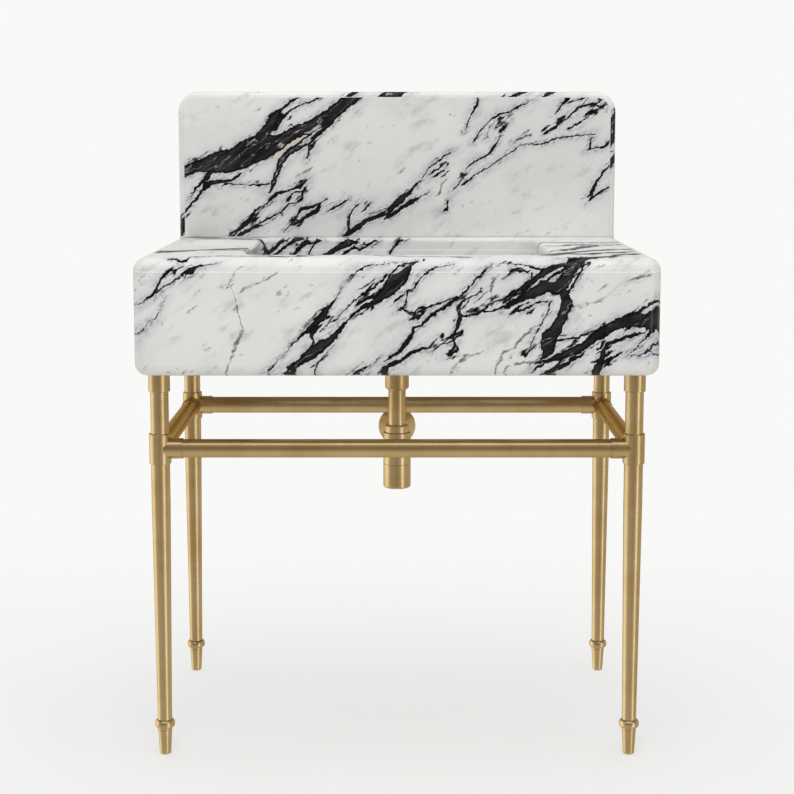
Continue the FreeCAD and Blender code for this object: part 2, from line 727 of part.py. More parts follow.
# Drain sleeve, tailpiece and bottle trap on the drain's axis
def make_trap():
    tail_bore = "(tailpiece_radius + fit_clearance)"
    sleeve_length = "(sleeve_top_z - sleeve_low_z)"
    shank_bore = "waste_shank_radius + fit_clearance"
    sleeve = turned("drain_sleeve", [
        (f"{tail_bore} + edge_break", "0"), ("sleeve_radius - sleeve_taper", "0"),
        ("sleeve_radius", "sleeve_taper"),
        ("sleeve_radius", sleeve_length), (shank_bore, sleeve_length),
        (shank_bore, "sleeve_collar"), (tail_bore, "sleeve_collar"), (tail_bore, "edge_break")])
    place(sleeve, y="basin_y", z="sleeve_low_z")

    tailpiece = tube("tailpiece", "tailpiece_radius", "tailpiece_wall",
                     "(sleeve_low_z + tailpiece_hold - tailpiece_low_z)")
    place(tailpiece, y="basin_y", z="tailpiece_low_z")

    neck_bore = "(trap_neck_radius + fit_clearance)"
    lip = "(trap_neck_height + inlet_seal_height)"
    nut = turned("trap_inlet_nut", [
        (neck_bore, "0"), ("inlet_nut_radius - edge_break", "0"), ("inlet_nut_radius", "edge_break"),
        ("inlet_nut_radius", "inlet_nut_height - inlet_nut_shoulder"),
        ("inlet_nut_radius - inlet_nut_shoulder", "inlet_nut_height"),
        (f"{tail_bore} + edge_break", "inlet_nut_height"), (tail_bore, "inlet_nut_height - edge_break"),
        (tail_bore, lip), (neck_bore, lip)])
    place(nut, y="basin_y", z="trap_top_z")
    seal = turned("trap_inlet_seal", [
        (tail_bore, "0"), ("trap_neck_radius", "0"), ("trap_neck_radius", "inlet_seal_height"),
        (tail_bore, "inlet_seal_height")])
    place(seal, y="basin_y", z="trap_top_z + trap_neck_height")

    make_trap_body(tail_bore)

    inner = "(trap_radius - trap_wall)"
    thread = "(trap_cup_height + trap_cup_seal_height + trap_cup_thread)"
    thread_radius = f"({inner} - fit_clearance)"
    thread_bore = f"({inner} - trap_wall)"
    cup = turned("trap_cup", [
        ("0", "0"), ("trap_radius", "0"), ("trap_radius", "trap_cup_height"),
        (thread_radius, "trap_cup_height"), (thread_radius, thread), (thread_bore, thread),
        (thread_bore, "trap_wall"), ("0", "trap_wall")])
    soften(cup, "trap_cup_edge_radius", rim_at("trap_radius", "0"))
    place(cup, y="basin_y", z="trap_low_z")
    cup_seal = turned("trap_cup_seal", [
        (inner, "0"), ("trap_radius - trap_cup_seal_setback", "0"),
        ("trap_radius - trap_cup_seal_setback", "trap_cup_seal_height"), (inner, "trap_cup_seal_height")])
    place(cup_seal, y="basin_y", z="cup_top_z")


def make_trap_body(tail_bore):
    """The head of the bottle, with its neck and the arm that leads to the wall."""
    body = new_body("trap_body")
    height = "(trap_top_z - body_low_z)"
    arm_level = "(outlet_z - body_low_z)"
    inner = "(trap_radius - trap_wall)"
    roof = f"({height} - trap_wall)"
    neck_top = f"({height} + trap_neck_height)"
    spin(body, [
        ("0", "0"), ("trap_radius", "0"), ("trap_radius", f"{height} - edge_break"),
        ("trap_radius - edge_break", height), ("trap_neck_radius", height),
        ("trap_neck_radius", neck_top), ("0", neck_top)])
    pad(body, circles(body, "XZ_Plane", [("0", arm_level)], "outlet_arm_radius"), "outlet_arm_reach",
        reverse=True)
    before = body.Tip.Shape.Volume
    spin(body, [
        ("0", "-overrun"), (inner, "-overrun"), (inner, roof), (tail_bore, roof),
        (tail_bore, f"{neck_top} + overrun"), ("0", f"{neck_top} + overrun")], "PartDesign::Groove")
    if not body.Tip.Shape.Volume < before:
        raise RuntimeError("the trap body was not hollowed")
    pocket(body, circles(body, "XZ_Plane", [("0", arm_level)], "outlet_radius + fit_clearance",
                         lift="-outlet_arm_reach"), "outlet_arm_reach", reverse=True)
    place(body, y="basin_y", z="body_low_z")


# Outlet to the wall: nut, seal, tube and rosette on a level axis
def make_outlet():
    tube_bore = "(outlet_radius + fit_clearance)"
    arm_bore = "(outlet_arm_radius + fit_clearance)"
    shoulder = "(outlet_nut_thread + outlet_seal_height)"
    nut = turned("outlet_nut", [
        (arm_bore, "0"), ("outlet_nut_radius - edge_break", "0"), ("outlet_nut_radius", "edge_break"),
        ("outlet_nut_radius", "outlet_nut_height - edge_break"),
        ("outlet_nut_radius - edge_break", "outlet_nut_height"), (tube_bore, "outlet_nut_height"),
        (tube_bore, shoulder), (arm_bore, shoulder)])
    place(nut, "0", "arm_end_y - outlet_nut_thread", "outlet_z", *ALONG_Y)
    seal = turned("outlet_seal", [
        (tube_bore, "0"), ("outlet_arm_radius", "0"), ("outlet_arm_radius", "outlet_seal_height"),
        (tube_bore, "outlet_seal_height")])
    place(seal, "0", "arm_end_y", "outlet_z", *ALONG_Y)
    to_wall = "(wall_y - tube_start_y)"
    inner = "outlet_spigot_radius - tailpiece_wall"
    run = turned("outlet_tube", [
        (inner, "0"), ("outlet_radius", "0"), ("outlet_radius", to_wall), ("outlet_spigot_radius", to_wall),
        ("outlet_spigot_radius", f"{to_wall} + outlet_stub"), (inner, f"{to_wall} + outlet_stub")])
    place(run, "0", "tube_start_y", "outlet_z", *ALONG_Y)
    rosette = turned("wall_rosette", [
        (tube_bore, "0"), ("rosette_neck_radius", "0"), ("rosette_radius", "rosette_height - rosette_rim"),
        ("rosette_radius", "rosette_height"), (tube_bore, "rosette_height")])
    soften(rosette, "rosette_edge_radius", rim_at("rosette_neck_radius", "0"))
    place(rosette, "0", "wall_y - rosette_height", "outlet_z", *ALONG_Y)


block = make_block()
make_splash(block)
make_fixings()
for corner, (x, y, turn) in CORNERS.items():
    make_leg(corner, x, y, turn)
make_rails()
make_waste()
make_plug()
make_trap()
make_outlet()
doc.recompute()

faults = [item.Label for item in doc.Objects if "Invalid" in item.State or "Error" in item.State]
faults += [node.Label for node in nodes if node.Shape.isNull() or not node.Shape.isValid()]
if faults:
    raise RuntimeError(f"failed to build: {faults}")

os.makedirs("parts", exist_ok=True)
for node in nodes:
    node.Shape.exportStep(f"parts/{node.Label}.step")
print(f"{len(nodes)} sub-parts written")
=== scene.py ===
import math

import bpy
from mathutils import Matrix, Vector


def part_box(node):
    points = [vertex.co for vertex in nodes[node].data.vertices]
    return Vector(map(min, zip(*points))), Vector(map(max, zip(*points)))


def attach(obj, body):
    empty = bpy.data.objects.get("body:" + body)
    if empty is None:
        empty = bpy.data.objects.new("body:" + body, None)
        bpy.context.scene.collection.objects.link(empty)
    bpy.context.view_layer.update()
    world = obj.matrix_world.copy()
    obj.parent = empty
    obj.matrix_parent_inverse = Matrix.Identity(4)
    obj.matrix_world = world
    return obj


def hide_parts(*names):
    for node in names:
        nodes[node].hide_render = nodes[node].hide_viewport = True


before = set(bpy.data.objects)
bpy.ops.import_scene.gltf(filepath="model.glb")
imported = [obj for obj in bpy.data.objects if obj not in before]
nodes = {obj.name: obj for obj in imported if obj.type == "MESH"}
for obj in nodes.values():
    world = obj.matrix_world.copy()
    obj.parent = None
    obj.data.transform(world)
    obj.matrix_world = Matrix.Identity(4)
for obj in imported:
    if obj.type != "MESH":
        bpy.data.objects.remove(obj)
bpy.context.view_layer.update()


# Basin block: one piece of white marble with black and grey veins, sawn to a deep apron, hollowed
# for the basin and rounded at its edges. The veins climb to the right over the apron, cross the
# deck in bands, and come through at the sides, the back and the basin's floor.
class Wire:
    """One output of a node. Sums on it add Math nodes to the same tree."""

    def __init__(self, tree, socket=None):
        self.tree = tree
        self.socket = socket

    def node(self, kind, settings, inputs, output=0):
        """Adds a node: its settings first, then the values or wires of its sockets."""
        made = self.tree.nodes.new(kind)
        for name, value in settings.items():
            if name == "points":
                points = made.mapping.curves[0].points
                for spot, place in zip(points, (value[0], value[-1])):
                    spot.location = place
                for place in value[1:-1]:
                    points.new(*place)
                for spot in points:
                    spot.handle_type = "VECTOR"
                made.mapping.extend = "HORIZONTAL"
                made.mapping.update()
            else:
                setattr(made, name, value)
        for name, value in inputs.items():
            if isinstance(value, Wire):
                self.tree.links.new(value.socket, made.inputs[name])
            else:
                made.inputs[name].default_value = value
        return None if output is None else Wire(self.tree, made.outputs[output])

    def maths(self, operation, first, second=0.0):
        return self.node("ShaderNodeMath", {"operation": operation}, {0: first, 1: second})

    def __add__(self, other):
        return self.maths("ADD", self, other)

    def __sub__(self, other):
        return self.maths("SUBTRACT", self, other)

    def __rsub__(self, other):
        return self.maths("SUBTRACT", other, self)

    def __mul__(self, other):
        return self.maths("MULTIPLY", self, other)

    def __abs__(self):
        return self.maths("ABSOLUTE", self)

    __radd__ = __add__
    __rmul__ = __mul__

    def at_least(self, other):
        return self.maths("MAXIMUM", self, other)

    def at_most(self, other):
        return self.maths("MINIMUM", self, other)

    def step(self, low, high):
        """0 below low, 1 above high and a smooth rise between, or the other way round."""
        return self.node("ShaderNodeMapRange", {"interpolation_type": "SMOOTHSTEP"},
                         {0: self, 1: low, 2: high})

    def mix(self, first, second):
        """The first colour where this wire is 0, the second where it is 1."""
        return self.node("ShaderNodeMix", {"data_type": "RGBA"}, {0: self, 6: first, 7: second}, 2)

    def stretch(self, x, y, z, turn=(0.0, 0.0, 0.0)):
        """Turns a place, in radians, and then multiplies it along each axis."""
        turned = self.node("ShaderNodeMapping", {}, {"Vector": self, "Rotation": turn})
        return turned.node("ShaderNodeVectorMath", {"operation": "MULTIPLY"}, {0: turned, 1: (x, y, z)})

    def noise(self, scale, detail=2.0, rough=0.5, output=0):
        return self.node("ShaderNodeTexNoise", {},
                         {"Vector": self, "Scale": scale, "Detail": detail, "Roughness": rough}, output)

    def parts(self):
        """The three numbers of a place."""
        first = self.node("ShaderNodeSeparateXYZ", {}, {"Vector": self})
        return [Wire(self.tree, socket) for socket in first.socket.node.outputs]


def tint(code):
    """A colour as it is written in sRGB, in the numbers that a shader takes."""
    levels = [int(code[start:start + 2], 16) / 255 for start in (0, 2, 4)]
    return (*[((level + 0.055) / 1.055) ** 2.4 if level > 0.04 else level / 12.92 for level in levels], 1.0)


def new_finish(name, **same_all_over):
    """A material, its shader with what is the same all over it, and the place of each point."""
    material = bpy.data.materials.new(name)
    material.use_nodes = True
    shader = material.node_tree.nodes["Principled BSDF"]
    for socket, value in same_all_over.items():
        shader.inputs[socket.replace("_", " ")].default_value = value
    place = Wire(material.node_tree).node("ShaderNodeTexCoord", {}, {}, "Object")
    return material, shader, place


def feed(node, wires):
    for socket, wire in wires.items():
        wire.tree.links.new(wire.socket, node.inputs[socket])


def bumped(height, strength, depth):
    """A normal that follows a height from 0 to 1, this many metres deep."""
    return height.node("ShaderNodeBump", {}, {"Strength": strength, "Distance": depth, "Height": height})


# The apron's main veins, traced in pixels of the photograph: across, down and how wide
APRON_VEINS = [
    [(142, 304, 1), (144, 302, 2), (149, 302, 1.5), (160.5, 294, 3.5), (164.6, 289, 4), (168, 280.5, 3),
     (171, 276, 2), (176, 273, 1.5), (180, 270, 1.5), (186, 268, 2.5), (192, 265, 1), (200, 263, 1)],
    [(165.6, 291, 2), (174, 285, 1.8), (180, 281.5, 1.5), (186, 278, 2), (191, 273, 4), (198, 270, 7),
     (205, 264, 4), (213, 263, 1.5), (224, 261, 1)],
    [(140.6, 343, 2), (145, 338, 1.5), (147, 331.5, 1.5), (151, 328.5, 2), (156, 321, 1.2),
     (162.6, 316, 1), (165.6, 310, 1.2), (170, 304, 1), (172, 298, 0.8)],
    [(265, 374, 1.5), (273, 366, 2), (281, 359, 1), (290, 350, 1), (293, 344, 1.5), (301, 337, 3),
     (309, 328.5, 5), (317, 322, 6), (325, 315, 8), (328, 309, 7), (335.5, 303, 3), (337.6, 297, 2),
     (342, 288, 1.5)],
    [(283.5, 374, 6), (294, 366, 7), (303, 359, 8), (311, 354, 12), (318, 347, 15), (326, 342, 9),
     (334.5, 337, 7), (341, 328.5, 4), (345, 322, 3.5), (350, 316, 3), (357, 310, 4), (363, 306, 4.5),
     (372, 302, 5), (379, 297, 9), (385.5, 291, 13), (393, 283, 18), (400, 275, 19), (405, 268, 14),
     (410, 262, 8)],
    [(318, 346, 4), (315, 339, 4), (313, 330, 4)],
    [(321, 330.5, 2), (329, 324, 2), (338, 317, 2), (345, 310, 1.5), (353, 301, 2), (360, 296, 2),
     (368, 290, 3.5), (374, 287, 3), (380, 281.5, 2.5), (386.5, 275, 3)],
    [(350, 279.5, 1.5), (358, 272, 3), (366, 266, 3), (372, 263, 2), (382, 263, 1.5), (393, 260, 1),
     (417, 258, 1)],
    [(315.6, 371, 2), (318, 365, 2.5), (326, 353, 1.5), (333.5, 347, 1)],
    [(340.6, 374, 2), (352, 370, 2), (365, 365, 2.5), (372, 362, 1), (382, 355.5, 1.5)],
    [(381, 373, 5), (383.5, 370, 8), (385.5, 365, 5), (390, 363, 4), (400, 358, 5), (410, 351, 5),
     (421, 346, 4), (429, 345, 3.5), (435, 337, 1.5)],
    [(386.5, 358, 3), (395, 352, 4), (405, 343, 5), (411, 334, 5), (414, 326, 4), (421, 322, 3.5),
     (431, 314, 4), (441, 308, 4), (451, 300, 4), (461, 293, 3), (467.6, 285, 2.5), (475, 277, 3),
     (483, 269, 2.5), (489, 263, 1.5)],
    [(414.5, 316, 5), (416.5, 309, 6), (424, 307, 4), (434, 304, 3), (445, 299, 2.5), (455, 296, 2.5),
     (461, 293, 1.5)],
    [(403, 308, 2.5), (406, 296, 2), (407, 292, 2.5), (414.5, 285.6, 2.5), (418.6, 277, 2), (426, 272, 3),
     (433, 267, 2), (441, 265, 1.5), (451, 262, 1)],
    [(397, 299, 4), (402, 294, 3)],
    [(451, 334, 2), (455, 324, 4), (459, 316, 5), (456.5, 310, 5), (457.5, 305, 4), (463.5, 297, 2.5),
     (471.6, 295, 2), (478, 291, 2)],
    [(455, 346, 4), (452, 340, 5), (450.5, 334, 2)],
    [(433, 348, 2), (441, 342, 2.5), (447, 341, 2), (452, 339, 3)],
    [(460, 315, 3), (467.6, 314, 2), (478, 310.6, 4), (492, 309, 2.5), (502, 304, 4), (509, 300, 5)],
    [(479, 309, 2.5), (485, 304, 2.5), (492, 300, 2), (501, 298, 3), (507, 293, 4)],
    [(504, 275, 2), (507, 271, 4), (511, 268.5, 5), (516, 268.5, 5), (521, 273, 2)],
    [(489, 262, 1.2), (502, 260.5, 1.5), (518, 263, 2), (529, 267, 3), (536, 269, 2)],
    [(502, 297, 3), (510, 292, 5), (520, 286, 6), (530, 278, 7), (536, 274, 9), (542, 270, 9),
     (554, 264, 7), (564, 262, 4), (577, 263, 2)],
    [(502, 306, 3), (510, 301, 5), (520, 296, 8), (527, 293, 11), (534, 289, 13), (544, 284, 12),
     (551, 278, 9), (556, 272, 6), (561, 265, 2.5)],
    [(539, 356, 3), (541, 349, 10), (543, 341, 20), (549, 331, 13), (555, 319, 10), (559, 308, 9),
     (560, 298, 12), (558, 289, 15), (556, 281, 4)],
    [(538, 288, 5), (549, 287, 12), (557, 286, 4)],
    [(524, 349, 1.5), (529, 339, 2), (532, 330, 1.5), (538, 318, 1.5), (544, 309, 2), (545, 302, 2.5)],
    [(513, 308, 4), (520, 310, 2), (526, 305, 3), (534, 301, 2), (541, 300.5, 2.5)],
    [(562, 293, 3), (566, 287, 3), (572, 276, 2.5), (576, 267, 3), (577.5, 262, 2)],
    [(562, 284.6, 3), (558, 275, 3)],
    [(533, 360, 3), (542, 359, 4), (549, 357, 5), (556, 354, 8), (566, 350, 10), (576, 344.5, 10),
     (584, 339, 9), (592, 333, 10), (601, 327, 11), (610, 323, 13), (618, 320.5, 14), (627, 319, 15),
     (636, 320, 18), (642, 320, 19), (648, 313, 14), (652, 304, 8), (654, 296, 4)],
    [(553, 339, 3), (562, 336.5, 2.5), (570, 335, 3), (582, 332, 2.5), (592, 328, 3), (600, 323, 4)],
    [(614, 318, 4), (624, 313, 4), (632, 309.5, 4), (638, 305, 3), (650, 296, 3)],
    [(530, 374, 4), (542, 368.5, 3.5), (556, 363.5, 3.5), (566, 358.5, 5), (575, 353, 4)],
    [(586, 374, 7), (592, 365, 8), (596, 357, 7), (598, 347, 5), (601, 342, 5), (608, 340, 5),
     (617, 336, 4), (626, 333, 3.5), (636, 331, 2)],
    [(593, 346, 3), (597, 341, 4), (600, 337, 2)],
    [(598, 358, 4), (606, 355, 4), (614, 351.5, 2.5)],
    [(620, 354, 1.5), (630, 344, 1.8), (638, 336, 2.5), (644, 329, 5), (648, 322, 5)],
    [(624, 354, 1.5), (634, 352, 2), (641, 348, 2), (647, 340, 2.5), (652, 324, 2)],
    [(642, 347, 2), (647, 353, 2), (652, 360, 1.5)],
    [(401, 307, 2), (408, 311, 3), (414.5, 316, 4)],
]
APRON_GREY_VEINS = [
    [(233.5, 286.6, 1), (238, 277, 1), (240, 271, 1), (247, 266, 1)],
    [(248, 328.5, 1), (246, 322, 1), (243, 312, 1), (242, 303, 1), (239, 295, 1), (234, 287, 1)],
    [(228, 372, 1), (235.5, 356, 2), (240, 342, 4), (243, 337, 2), (248, 328.5, 1)],
    [(244, 291, 1), (250, 287, 1), (267, 281, 1), (280, 273, 1)],
    [(450, 367, 1.5), (456, 361, 1.5), (463.5, 354, 4), (471.6, 353, 2.5), (478, 351, 1.5)],
    [(492, 374, 2), (493, 366, 1), (496, 358, 3), (502, 349, 2), (510, 346, 2), (515.5, 338, 3),
     (523, 331.5, 2.5), (529, 326, 2.5)],
    [(503, 366, 1.5), (512, 363, 2), (521, 360, 2), (530, 361, 3)],
    [(519.6, 349, 3), (528, 346, 5)],
    [(490, 299, 2), (488.5, 295, 2), (486, 290.5, 2), (489, 281, 4), (491, 277, 3)],
    [(563, 308, 1.5), (571, 306, 1.5), (585, 301, 1.5), (596, 297, 1.5)],
    [(620, 280, 2), (626, 278, 2), (633, 275.5, 3), (640, 276, 2)],
]
APRON_WARM_VEINS = [[(594, 298, 1.5), (602, 293, 2.5), (610, 286.5, 3), (616, 282, 3), (622, 279.5, 2)]]
APRON_MIDDLE_PIXEL = (396.8, 374.5)
APRON_PIXELS_PER_METRE = 594.5

# The deck's veins, in metres: to the right, towards the wall and how wide, which is
# then multiplied because the deck is seen so flat
DECK_WIDTH_SHARE = 1.9
DECK_VEINS = [
    [(-0.440, 0.228, 0.006), (-0.392, 0.234, 0.012), (-0.335, 0.226, 0.007), (-0.262, 0.224, 0.010)],
    [(-0.432, 0.172, 0.003), (-0.372, 0.187, 0.012), (-0.318, 0.178, 0.014), (-0.262, 0.172, 0.009)],
    [(-0.450, -0.178, 0.006), (-0.400, -0.150, 0.013), (-0.352, -0.128, 0.008), (-0.300, -0.075, 0.012),
     (-0.262, -0.052, 0.010)],
    [(-0.450, -0.140, 0.003), (-0.395, -0.122, 0.009), (-0.340, -0.112, 0.014), (-0.262, -0.098, 0.011)],
    [(-0.366, -0.283, 0.003), (-0.290, -0.262, 0.006), (-0.210, -0.244, 0.009), (-0.110, -0.232, 0.005),
     (-0.020, -0.238, 0.004), (0.060, -0.252, 0.010), (0.130, -0.268, 0.004)],
    [(0.258, 0.070, 0.008), (0.300, 0.076, 0.006), (0.338, 0.088, 0.018), (0.372, 0.082, 0.008),
     (0.440, 0.104, 0.010)],
    [(0.256, 0.020, 0.003), (0.310, 0.010, 0.006), (0.352, 0.030, 0.010), (0.400, 0.034, 0.003)],
    [(0.252, -0.140, 0.007), (0.300, -0.090, 0.012), (0.332, -0.030, 0.014), (0.366, -0.002, 0.006),
     (0.440, 0.026, 0.003)],
    [(0.250, -0.222, 0.009), (0.292, -0.176, 0.012), (0.320, -0.136, 0.008), (0.372, -0.088, 0.014),
     (0.440, -0.066, 0.009)],
    [(0.256, -0.240, 0.006), (0.285, -0.206, 0.010), (0.330, -0.194, 0.017), (0.378, -0.176, 0.008),
     (0.440, -0.108, 0.012)],
    [(0.272, -0.292, 0.016), (0.305, -0.270, 0.012), (0.352, -0.252, 0.007), (0.400, -0.212, 0.010),
     (0.446, -0.190, 0.006)],
]
# Veins that fall down the basin's rear wall, in metres: to the right, up and how wide
BASIN_VEINS = [
    [(-0.300, 0.772, 0.003), (-0.257, 0.814, 0.006), (-0.244, 0.830, 0.008), (-0.228, 0.843, 0.008),
     (-0.221, 0.851, 0.006)],
    [(-0.248, 0.814, 0.004), (-0.225, 0.830, 0.006), (-0.205, 0.847, 0.008), (-0.194, 0.855, 0.010)],
    [(-0.250, 0.774, 0.004), (-0.209, 0.816, 0.006), (-0.194, 0.830, 0.008), (-0.178, 0.847, 0.010)],
    [(-0.175, 0.816, 0.003), (-0.167, 0.830, 0.004), (-0.157, 0.851, 0.004)],
    [(-0.225, 0.768, 0.004), (-0.155, 0.814, 0.006), (-0.132, 0.826, 0.012), (-0.113, 0.838, 0.013),
     (-0.094, 0.847, 0.015)],
    [(-0.117, 0.814, 0.004), (-0.098, 0.830, 0.006), (-0.082, 0.838, 0.008), (-0.069, 0.832, 0.004)],
    [(-0.071, 0.832, 0.004), (-0.059, 0.839, 0.005), (-0.044, 0.851, 0.005)],
    [(-0.060, 0.766, 0.003), (-0.019, 0.816, 0.004), (-0.009, 0.834, 0.006), (0.004, 0.851, 0.006)],
    [(0.020, 0.740, 0.003), (0.100, 0.790, 0.004), (0.180, 0.812, 0.002)],
]
VEIN_CLIMB = math.radians(35)


def vein_field(along, across, veins, span):
    """How far inside the nearest vein a place is, in metres, and below zero outside.

    A vein runs along one direction, so its middle and half its width are two curves over it. Veins
    that follow one another share a pair of curves, with a width far below zero between them. A
    curve holds 0 to 1, so a width of zero is kept as one half."""
    none = 0.5
    just_none = none - 0.001
    fade = 0.025
    shortest_point = 0.004
    rows = []
    for vein in sorted(veins, key=lambda vein: vein[0][0]):
        begins = vein[0][0] - shortest_point - 3 * vein[0][2]
        ends = vein[-1][0] + shortest_point + 3 * vein[-1][2]
        row = next((row for row in rows if row[-1][2] + 2 * fade < begins), None)
        if row is None:
            row = []
            rows.append(row)
        row.append((vein, begins, ends))
    field = None
    for row in rows:
        middles = []
        widths = [(0.0, none - 2 * fade)]
        for vein, begins, ends in row:
            middles.append((begins - fade, vein[0][1]))
            middles += [(spot[0], spot[1]) for spot in vein]
            middles.append((ends + fade, vein[-1][1]))
            widths += [(begins - fade, none - fade), (begins, just_none)]
            widths += [(spot[0], none + spot[2]) for spot in vein]
            widths += [(ends, just_none), (ends + fade, none - fade)]
        widths.append((1.0, none - 2 * fade))
        middle = along.node("ShaderNodeFloatCurve", {"points": middles}, {"Value": along})
        width = along.node("ShaderNodeFloatCurve", {"points": widths}, {"Value": along})
        inside = width - abs(across - middle)
        field = field.at_least(inside) if field else inside
    return (field - none) * span


def drawn_veins(veins, middle, turn, span):
    """Vein spots as shares of a square of this span round a middle, turned so that veins run along it."""
    shortest_run = span / 500
    most_lean = 2.5
    placed = []
    for vein in veins:
        spots = [((spot[0] - middle[0]) * math.cos(turn) + (spot[1] - middle[1]) * math.sin(turn),
                  (spot[1] - middle[1]) * math.cos(turn) - (spot[0] - middle[0]) * math.sin(turn),
                  spot[2] / 2) for spot in vein]
        shares = []
        for number, (along, across, half) in enumerate(spots):
            before = spots[max(number - 1, 0)]
            after = spots[min(number + 1, len(spots) - 1)]
            slope = (after[1] - before[1]) / max(after[0] - before[0], shortest_run)
            lean = min(math.hypot(1, slope), most_lean)
            shares.append((0.5 + along / span, 0.5 + across / span, half * lean / span))
        placed.append(sorted(shares))
    return placed


def upright_pixels(veins, middle, scale):
    """Vein spots of the photograph as metres to the right and up from a middle pixel."""
    return [[((x - middle[0]) / scale, (middle[1] - y) / scale, wide / scale) for x, y, wide in vein]
            for vein in veins]


def turned_along(x, up, turn, span):
    """A place on a slab, as shares of the square that drawn_veins uses."""
    along = (x * math.cos(turn) + up * math.sin(turn)) * (1 / span) + 0.5
    across = (up * math.cos(turn) - x * math.sin(turn)) * (1 / span) + 0.5
    return along, across


def shifted(place, scale, detail, reach):
    """A place moved about by a noise of this many waves per metre, over this many metres."""
    wander = place.noise(scale, detail, 0.6, "Color")
    shaken = wander.node("ShaderNodeVectorMath", {"operation": "SUBTRACT"}, {0: wander, 1: (0.5, 0.5, 0.5)})
    shaken = shaken.node("ShaderNodeVectorMath", {"operation": "SCALE"}, {0: shaken, "Scale": reach})
    return place.node("ShaderNodeVectorMath", {"operation": "ADD"}, {0: place, 1: shaken})


def marble(name, veins_of, levels=None):
    """White marble: a cloudy ground with grey flecks, and the veins of one slab with threads beside them.

    The levels are the heights of an underside and a deck. The underside is made dull and painted a dark warm
    grey as painted shade. The deck is honed, and a fine white line is painted as a painted highlight where
    the rounding of its edge begins."""
    material, shader, place = new_finish(name, Specular_IOR_Level=0.32, IOR=1.5)
    slow_wander = 0.0055
    quick_wander = 0.0085
    climb = (0.0, VEIN_CLIMB, 0.0)
    steeper_climb = (0.0, VEIN_CLIMB * 1.05, 0.0)
    moved = shifted(shifted(place, 26.0, 2.0, slow_wander), 110.0, 4.0, quick_wander)
    grain = moved.stretch(1.0, 0.6, 3.2, climb)
    streak = grain.noise(75.0, 4.0, 0.65)
    mottle = grain.noise(30.0, 4.0, 0.6)
    smoke = grain.noise(15.0, 4.0, 0.62)
    lines = abs(moved.stretch(1.0, 0.6, 5.5, steeper_climb).noise(13.0, 2.0, 0.5) - 0.5)
    patch = place.noise(16.0, 3.0, 0.6)
    cloud = place.noise(6.0, 4.0, 0.55)
    speck = moved.stretch(1.0, 0.8, 2.2, climb).noise(36.0, 3.0, 0.6)
    veins, grey, warm = veins_of(place, moved)

    streaky_fray = 0.003
    grainy_fray = 0.0032
    thinned = 0.0005
    line_slope = 0.024
    sliver_width = 0.0018
    thread_width = 0.0011
    sliver_loss = 0.01
    thread_loss = 0.003
    swollen = veins + (streak - 0.5) * streaky_fray + (place.noise(320.0, 2.0) - 0.5) * grainy_fray - thinned
    slivers = patch.step(0.55, 0.68) * sliver_width - lines * line_slope
    slivers = slivers - swollen.step(0.0045, 0.002) * sliver_loss
    threads = patch.step(0.5, 0.36) * thread_width - lines * line_slope
    threads = threads - swollen.step(-0.004, -0.018) * thread_loss
    inside = swollen.at_most(slivers * -1.0).at_least(threads)

    halo_reach = 0.024
    smear_reach = 0.011
    ground = cloud.step(0.35, 0.68).mix(tint("E6E6E2"), tint("DBDCD9"))
    ground = (smoke.step(0.5, 0.7) * patch.step(0.4, 0.56) * 0.5).mix(ground, tint("ABABAD"))
    ground = (speck.step(0.61, 0.75) * cloud.step(0.62, 0.42) * 0.8).mix(ground, tint("77777C"))
    ground = (swollen.step(-halo_reach, -0.002) * mottle.step(0.15, 0.65) * 0.65).mix(ground, tint("CAC9D0"))
    ground = (swollen.step(-smear_reach, 0.0) * streak.step(0.44, 0.68) * 0.65).mix(ground, tint("6A6870"))
    ashen = (grey + (streak - 0.5) * (2 * streaky_fray)).step(-0.002, 0.0018)
    ground = (ashen * streak.step(0.25, 0.6) * 0.9).mix(ground, tint("4E4D52"))
    ground = (warm.step(-0.003, 0.003) * 0.6).mix(ground, tint("D3C3A8"))

    soft_edge = 0.0005
    black_border = 0.0012
    grey_heart = 0.0065
    core = mottle.step(0.3, 0.7).mix(tint("0B0B0D"), tint("302F34"))
    core = swollen.step(black_border, grey_heart).mix(tint("050506"), core)
    vein = inside.step(-soft_edge, soft_edge)
    colour = vein.mix(ground, core)
    polish = place.noise(40.0, 3.0) * 0.08 + 0.07
    if levels:
        underside, deck = levels
        line_drop = 0.0225
        half_line = 0.0013
        height = place.parts()[2]
        # Painted highlight: a thin white line painted across the face where the deck's rounded edge begins.
        painted_highlight_line = abs(height - (deck - line_drop)).step(half_line, 0.0003) * (1 - vein)
        colour = (painted_highlight_line * 0.6).mix(colour, tint("FFFFFF"))
        # Painted shade: the underside is painted a dark warm grey, and made rougher.
        painted_shade_underside = height.step(underside + 0.0012, underside + 0.0002)
        colour = (painted_shade_underside * 0.9).mix(colour, tint("8F7750"))
        honed = height.step(deck - 0.004, deck - 0.001)
        polish = polish + honed * 0.3 + painted_shade_underside * 0.5
    feed(shader, {"Base Color": colour, "Roughness": polish,
                  "Normal": bumped(place.noise(260.0, 2.0), 0.05, 0.0003)})
    return material


block_low, block_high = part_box("sink_block")


